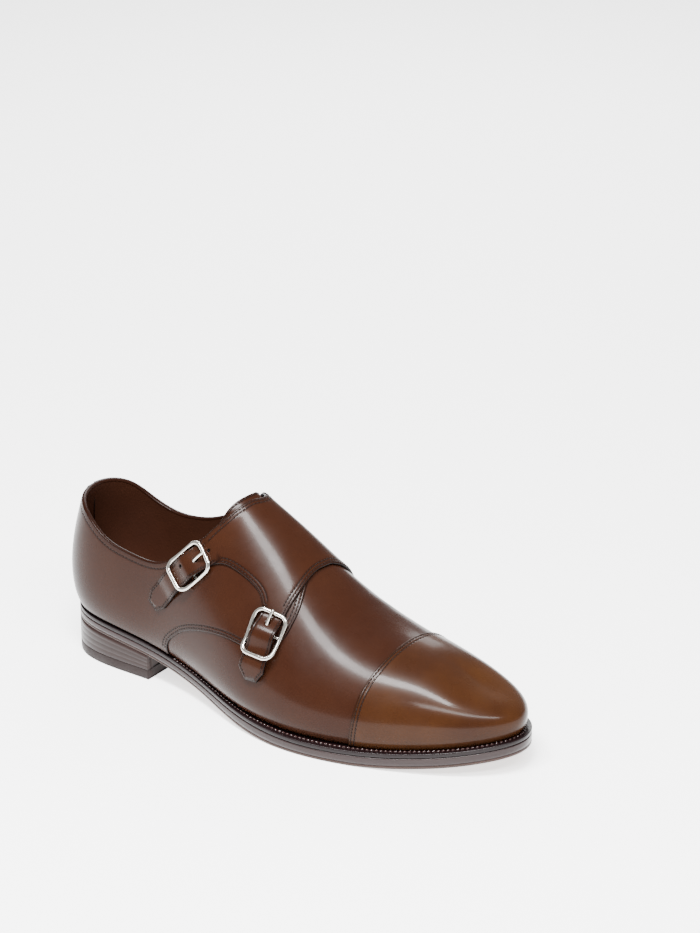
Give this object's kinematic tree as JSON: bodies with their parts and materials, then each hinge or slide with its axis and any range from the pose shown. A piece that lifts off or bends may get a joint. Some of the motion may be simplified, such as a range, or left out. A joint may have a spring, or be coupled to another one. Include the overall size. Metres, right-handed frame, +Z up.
{
  "type": "monk strap shoe",
  "caption": "Right-foot monk strap dress shoe: toe cap, flap with two buckled straps over the instep, stitched welt, leather sole, stacked heel.",
  "frame": {"origin": "middle of the shoe's bounding box in plan, on the ground plane under heel and forefoot", "axes": "+X towards the toe, +Y towards the medial (inner) side, +Z up"},
  "size_m": [0.3034, 0.1026, 0.1188],
  "materials": {
    "calf": "smooth polished mid-brown calf",
    "lining": "matte dark brown lining leather",
    "edge": "burnished near-black brown sole edge",
    "rubber": "matte dark rubber",
    "nickel": "polished nickel"
  },
  "bodies": {
    "root": {"top_piece": "rubber", "heel_stack": "edge", "outsole": "edge", "welt": "edge", "insole": "lining", "upper": "calf", "toe_cap": "calf", "tongue": "calf", "monk_flap": "calf", "buckle_tab_rear": "calf", "buckle_rear": "nickel", "prong_rear": "nickel", "buckle_tab_front": "calf", "buckle_front": "nickel", "prong_front": "nickel"}
  },
  "joints": []
}
